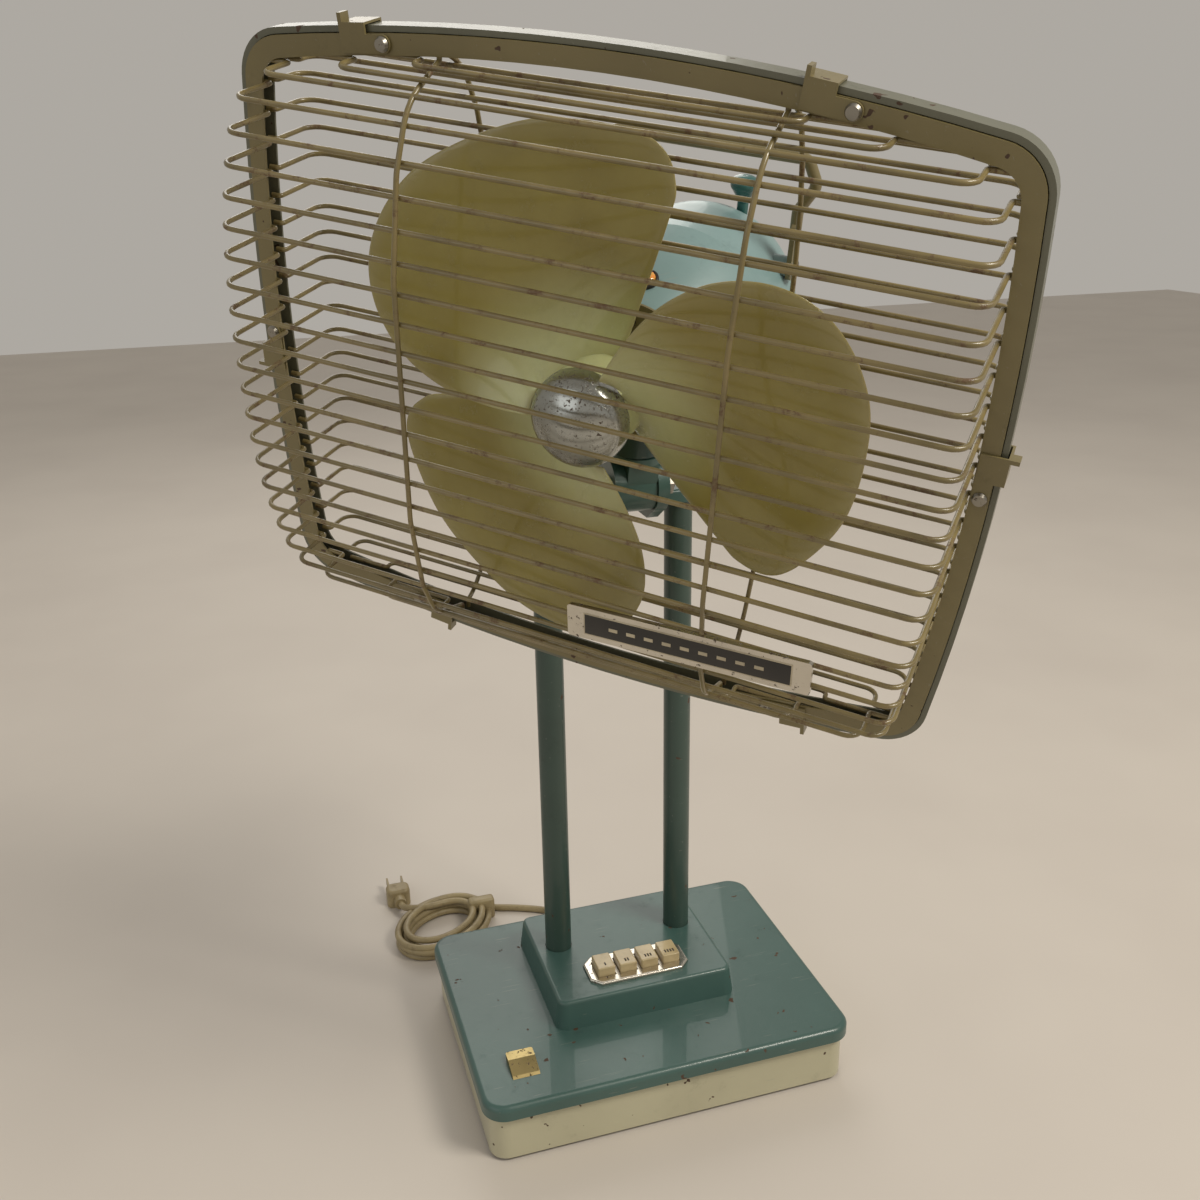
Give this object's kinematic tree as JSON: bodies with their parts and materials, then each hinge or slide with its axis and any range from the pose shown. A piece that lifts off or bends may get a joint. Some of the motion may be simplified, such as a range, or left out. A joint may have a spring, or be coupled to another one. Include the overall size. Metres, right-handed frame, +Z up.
{
  "type": "desk fan",
  "caption": "Oscillating pedestal desk fan: square wire guard, moulded blades, twin posts on a rectangular base with piano keys, tilting head and carry handle.",
  "frame": {"origin": "centre of the base's footprint at the underside of the rubber pad", "axes": "+Z up, +Y to the rear of the base, +X to the right seen from the keys"},
  "size_m": [0.3631, 0.5165, 0.6859],
  "materials": {
    "teal_enamel": "semi-gloss stoved enamel, chipped at the edges",
    "cream_enamel": "semi-gloss enamel, yellowed",
    "blue_enamel": "smooth semi-gloss enamel",
    "green_enamel": "dark cast cradle, semi-gloss",
    "olive_enamel": "gloss enamel over wire, small rust spots",
    "grey_teal_enamel": "semi-gloss enamel band",
    "bright_chrome": "plated, lightly pitted",
    "plain_steel": "turned or zinc plated",
    "laminations": "varnished stack",
    "copper_winding": "enamelled wire, varnished",
    "brass_part": "cast and turned",
    "aged_gold": "gold lacquer, rubbed",
    "cream_key": "moulded, yellowed",
    "teal_plastic": "moulded knob",
    "blade_plastic": "translucent moulding, yellowed",
    "amber_lens": "translucent cap",
    "dark_plastic": "black phenolic",
    "black_rubber": "soft pad and gland",
    "cord_vinyl": "vinyl cord and moulded plug"
  },
  "bodies": {
    "base": {"base_cover": "teal_enamel", "base_skirt": "cream_enamel", "base_floor_plate": "plain_steel", "base_ballast": "laminations", "base_pad": "black_rubber", "base_screws": "plain_steel", "emblem_plate": "aged_gold", "post_left": "teal_enamel", "post_right": "teal_enamel", "post_nuts": "plain_steel", "key_bezel": "bright_chrome", "switch_body": "dark_plastic", "yoke_bridge": "teal_enamel", "tilt_bolt": "plain_steel", "tilt_nut": "plain_steel", "cord_gland": "black_rubber", "cord": "cord_vinyl", "cord_hank": "cord_vinyl", "plug": "cord_vinyl"},
    "off_key": {"key_off": "cream_key"},
    "low_key": {"key_low": "cream_key"},
    "medium_key": {"key_medium": "cream_key"},
    "high_key": {"key_high": "cream_key"},
    "tilt_yoke": {"tilt_head": "teal_enamel", "swivel_pin": "plain_steel", "link_pin": "plain_steel"},
    "fan_head": {"motor_neck": "green_enamel", "motor_front_housing": "blue_enamel", "motor_rear_cover": "blue_enamel", "oil_cap": "amber_lens", "motor_front_plate": "plain_steel", "motor_rear_plate": "plain_steel", "front_bearing": "brass_part", "rear_bearing": "brass_part", "stator": "laminations", "stator_windings": "copper_winding", "carry_handle": "olive_enamel", "head_screws": "plain_steel", "front_guard_rim": "olive_enamel", "front_guard_wires": "olive_enamel", "rear_guard_rim": "grey_teal_enamel", "rear_guard_wires": "olive_enamel", "guard_strap": "olive_enamel", "clip_rivets": "plain_steel", "badge_bar": "bright_chrome"},
    "oscillation_button": {"oscillation_knob": "teal_plastic"},
    "rotor_assembly": {"rotor": "laminations", "rotor_shaft": "plain_steel", "worm": "plain_steel", "blade_set": "blade_plastic", "spinner_cap": "bright_chrome"},
    "crank": {"worm_wheel": "brass_part", "crank_arm": "plain_steel"},
    "link": {"link_arm": "plain_steel"},
    "top_left_clip": {"clip_top_left": "olive_enamel"},
    "top_right_clip": {"clip_top_right": "olive_enamel"},
    "right_clip": {"clip_right": "olive_enamel"},
    "bottom_right_clip": {"clip_bottom_right": "olive_enamel"},
    "bottom_left_clip": {"clip_bottom_left": "olive_enamel"},
    "left_clip": {"clip_left": "olive_enamel"}
  },
  "joints": [
    {"name": "tilt", "type": "hinge", "parent": "base", "child": "tilt_yoke", "pos_m": [0, -0.014, 0.425], "axis": [1, 0, 0], "range_deg": [-31, 4]},
    {"name": "oscillate", "type": "hinge", "parent": "tilt_yoke", "child": "fan_head", "pos_m": [0, -0.014, 0.425], "axis": [-0.0384, -0.2788, 0.9596], "range_deg": [0, 82]},
    {"name": "off_key_press", "type": "slide", "parent": "base", "child": "off_key", "axis": [0, 0, 1], "range_m": [-0.005, 0], "stiffness_N_per_m": 400},
    {"name": "low_key_press", "type": "slide", "parent": "base", "child": "low_key", "axis": [0, 0, 1], "range_m": [-0.005, 0], "stiffness_N_per_m": 400},
    {"name": "medium_key_press", "type": "slide", "parent": "base", "child": "medium_key", "axis": [0, 0, 1], "range_m": [-0.005, 0], "stiffness_N_per_m": 400},
    {"name": "high_key_press", "type": "slide", "parent": "base", "child": "high_key", "axis": [0, 0, 1], "range_m": [-0.005, 0], "stiffness_N_per_m": 400},
    {"name": "oscillation_button_press", "type": "slide", "parent": "fan_head", "child": "oscillation_button", "axis": [-0.0384, -0.2788, 0.9596], "range_m": [-0.005, 0]},
    {"name": "rotor_spin", "type": "hinge", "parent": "fan_head", "child": "rotor_assembly", "pos_m": [-0.0477, -0.08542, 0.48988], "axis": [0.6608, 0.7132, 0.2337], "continuous": true},
    {"name": "crank_spin", "type": "hinge", "parent": "fan_head", "child": "crank", "pos_m": [0.08444, 0.03165, 0.52918], "axis": [-0.0384, -0.2788, 0.9596], "continuous": true},
    {"name": "link_swing", "type": "hinge", "parent": "tilt_yoke", "child": "link", "pos_m": [0.02929, -0.01934, 0.44338], "axis": [-0.0384, -0.2788, 0.9596], "range_deg": [0, 82]},
    {"name": "top_left_clip_swing", "type": "hinge", "parent": "fan_head", "child": "top_left_clip", "pos_m": [-0.14284, -0.05729, 0.66925], "axis": [0.6608, 0.7132, 0.2337], "range_deg": [0, 80]},
    {"name": "top_right_clip_swing", "type": "hinge", "parent": "fan_head", "child": "top_right_clip", "pos_m": [0.03336, -0.20847, 0.63238], "axis": [0.6608, 0.7132, 0.2337], "range_deg": [0, 80]},
    {"name": "right_clip_swing", "type": "hinge", "parent": "fan_head", "child": "right_clip", "pos_m": [0.10668, -0.21902, 0.45724], "axis": [0.6608, 0.7132, 0.2337], "range_deg": [0, 80]},
    {"name": "bottom_right_clip_swing", "type": "hinge", "parent": "fan_head", "child": "bottom_right_clip", "pos_m": [0.04626, -0.11483, 0.31009], "axis": [0.6608, 0.7132, 0.2337], "range_deg": [0, 80]},
    {"name": "bottom_left_clip_swing", "type": "hinge", "parent": "fan_head", "child": "bottom_left_clip", "pos_m": [-0.12995, 0.03634, 0.34696], "axis": [0.6608, 0.7132, 0.2337], "range_deg": [0, 80]},
    {"name": "left_clip_swing", "type": "hinge", "parent": "fan_head", "child": "left_clip", "pos_m": [-0.20326, 0.0469, 0.5221], "axis": [0.6608, 0.7132, 0.2337], "range_deg": [0, 80]}
  ],
  "couplings": [
    {"joint": "crank_spin", "follows": "rotor_spin", "ratio": 0.020833},
    {"joint": "link_swing", "follows": "oscillate", "ratio": 1}
  ]
}
